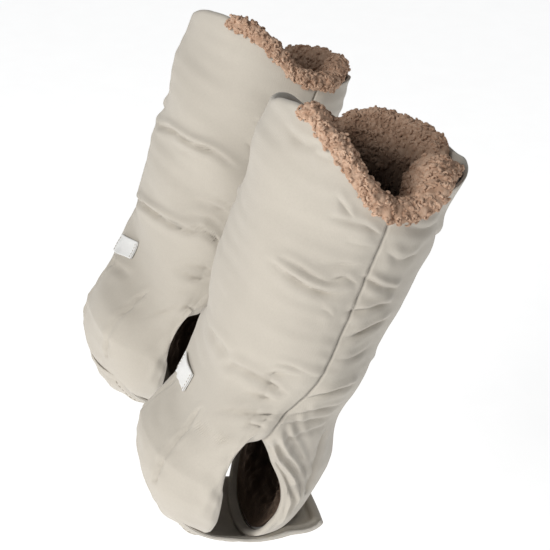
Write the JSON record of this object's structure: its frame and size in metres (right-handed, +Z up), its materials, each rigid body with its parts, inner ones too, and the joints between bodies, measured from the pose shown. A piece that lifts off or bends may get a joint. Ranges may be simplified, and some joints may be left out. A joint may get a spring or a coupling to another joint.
{
  "type": "hand warmer muff pair",
  "caption": "Padded hand warmer muffs that straddle a pushchair handlebar, with a pile lining rolled over the cuff and a closing flap below.",
  "frame": {"origin": "on the handlebar's centreline, midway between the two muffs", "axes": "+X along the handlebar towards the left hand's muff, +Y towards the person pushing, +Z up"},
  "size_m": [0.334, 0.2121, 0.3143],
  "materials": {
    "shell_fabric": "matte off-white woven shell with a faint sheen",
    "wadding": "soft white fibre wadding",
    "pile_lining": "curly pinkish-brown teddy pile",
    "elastic": "ribbed grey-beige elastic",
    "hook_tape": "matte beige hook tape",
    "loop_tape": "brushed beige loop tape",
    "label": "smooth white woven label, blank"
  },
  "bodies": {
    "right_muff": {"right_front_panel": "shell_fabric", "right_rear_panel": "shell_fabric", "right_front_wadding": "wadding", "right_rear_wadding": "wadding", "right_front_lining": "pile_lining", "right_rear_lining": "pile_lining", "right_outer_elastic": "elastic", "right_inner_elastic": "elastic", "right_loop_tape": "loop_tape", "right_label": "label"},
    "right_flap": {"right_closing_flap": "shell_fabric", "right_hook_tape": "hook_tape"},
    "left_muff": {"left_front_panel": "shell_fabric", "left_rear_panel": "shell_fabric", "left_front_wadding": "wadding", "left_rear_wadding": "wadding", "left_front_lining": "pile_lining", "left_rear_lining": "pile_lining", "left_outer_elastic": "elastic", "left_inner_elastic": "elastic", "left_loop_tape": "loop_tape", "left_label": "label"},
    "left_flap": {"left_closing_flap": "shell_fabric", "left_hook_tape": "hook_tape"}
  },
  "joints": [
    {"name": "left_muff_swivel", "type": "hinge", "parent": "right_muff", "child": "left_muff", "pos_m": [0.0885, 0, 0], "axis": [0.9976, -0.0669, 0.0197], "range_deg": [-45, 45]},
    {"name": "right_flap_hinge", "type": "hinge", "parent": "right_muff", "child": "right_flap", "pos_m": [-0.0855, -0.0583, -0.0462], "axis": [-0.9976, -0.0669, 0.0197], "range_deg": [0, 90]},
    {"name": "left_flap_hinge", "type": "hinge", "parent": "left_muff", "child": "left_flap", "pos_m": [0.0855, -0.0583, -0.0462], "axis": [-0.9976, 0.0669, -0.0197], "range_deg": [0, 90]}
  ]
}
